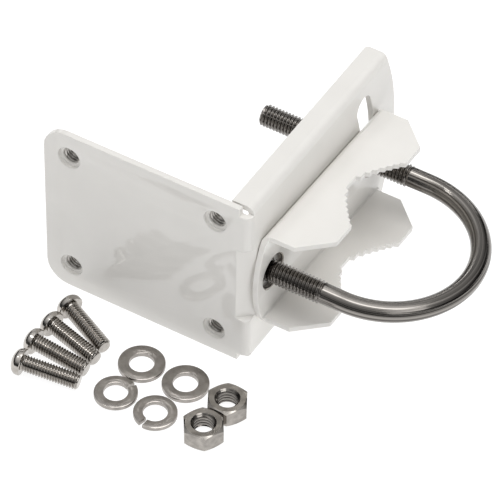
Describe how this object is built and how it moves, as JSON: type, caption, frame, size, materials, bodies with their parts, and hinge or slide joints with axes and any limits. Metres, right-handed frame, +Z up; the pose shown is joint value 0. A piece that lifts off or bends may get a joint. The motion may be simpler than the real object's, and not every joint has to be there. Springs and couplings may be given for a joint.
{
  "type": "pole mount bracket",
  "caption": "Folded steel angle bracket with a toothed saddle clamp and U-bolt for fixing an outdoor radio to a pole, shown with its loose screws, washers and nuts.",
  "frame": {"origin": "middle of the kit's base, on the surface that the kit lies on", "axes": "+Z up and along the pole, +X from the pole plate towards the U-bolt's bow, +Y along the pole plate away from the radio plate"},
  "size_m": [0.1394, 0.1441, 0.0698],
  "materials": {
    "powder_coat": "smooth glossy white powder coat over folded steel sheet",
    "stainless": "bright drawn stainless steel with rolled threads"
  },
  "bodies": {
    "bracket": {"l_bracket": "powder_coat", "press_nut_1": "powder_coat", "press_nut_2": "powder_coat", "press_nut_3": "powder_coat", "press_nut_4": "powder_coat"},
    "saddle_clamp": {"saddle_clamp": "powder_coat"},
    "u_bolt": {"u_bolt": "stainless"},
    "screw_1": {"screw_1": "stainless"},
    "screw_2": {"screw_2": "stainless"},
    "screw_3": {"screw_3": "stainless"},
    "screw_4": {"screw_4": "stainless"},
    "flat_washer_1": {"flat_washer_1": "stainless"},
    "flat_washer_2": {"flat_washer_2": "stainless"},
    "lock_washer_1": {"lock_washer_1": "stainless"},
    "lock_washer_2": {"lock_washer_2": "stainless"},
    "hex_nut_1": {"hex_nut_1": "stainless"},
    "hex_nut_2": {"hex_nut_2": "stainless"}
  },
  "joints": [
    {"name": "clamp_swing", "type": "hinge", "parent": "bracket", "child": "saddle_clamp", "pos_m": [0.0093, -0.013, 0.0349], "axis": [1, 0, 0], "range_deg": [-16.5, 23]},
    {"name": "u_bolt_slide", "type": "slide", "parent": "saddle_clamp", "child": "u_bolt", "axis": [0.996, 0.0576, -0.0689], "range_m": [-0.022, 0.021]},
    {"name": "screw_1_lift", "type": "slide", "parent": "bracket", "child": "screw_1", "axis": [0, 0, 1], "range_m": [0, 0.03]},
    {"name": "screw_2_lift", "type": "slide", "parent": "bracket", "child": "screw_2", "axis": [0, 0, 1], "range_m": [0, 0.03]},
    {"name": "screw_3_lift", "type": "slide", "parent": "bracket", "child": "screw_3", "axis": [0, 0, 1], "range_m": [0, 0.03]},
    {"name": "screw_4_lift", "type": "slide", "parent": "bracket", "child": "screw_4", "axis": [0, 0, 1], "range_m": [0, 0.03]},
    {"name": "flat_washer_1_lift", "type": "slide", "parent": "bracket", "child": "flat_washer_1", "axis": [0, 0, 1], "range_m": [0, 0.03]},
    {"name": "flat_washer_2_lift", "type": "slide", "parent": "bracket", "child": "flat_washer_2", "axis": [0, 0, 1], "range_m": [0, 0.03]},
    {"name": "lock_washer_1_lift", "type": "slide", "parent": "bracket", "child": "lock_washer_1", "axis": [0, 0, 1], "range_m": [0, 0.03]},
    {"name": "lock_washer_2_lift", "type": "slide", "parent": "bracket", "child": "lock_washer_2", "axis": [0, 0, 1], "range_m": [0, 0.03]},
    {"name": "hex_nut_1_lift", "type": "slide", "parent": "bracket", "child": "hex_nut_1", "axis": [0, 0, 1], "range_m": [0, 0.03]},
    {"name": "hex_nut_2_lift", "type": "slide", "parent": "bracket", "child": "hex_nut_2", "axis": [0, 0, 1], "range_m": [0, 0.03]}
  ]
}
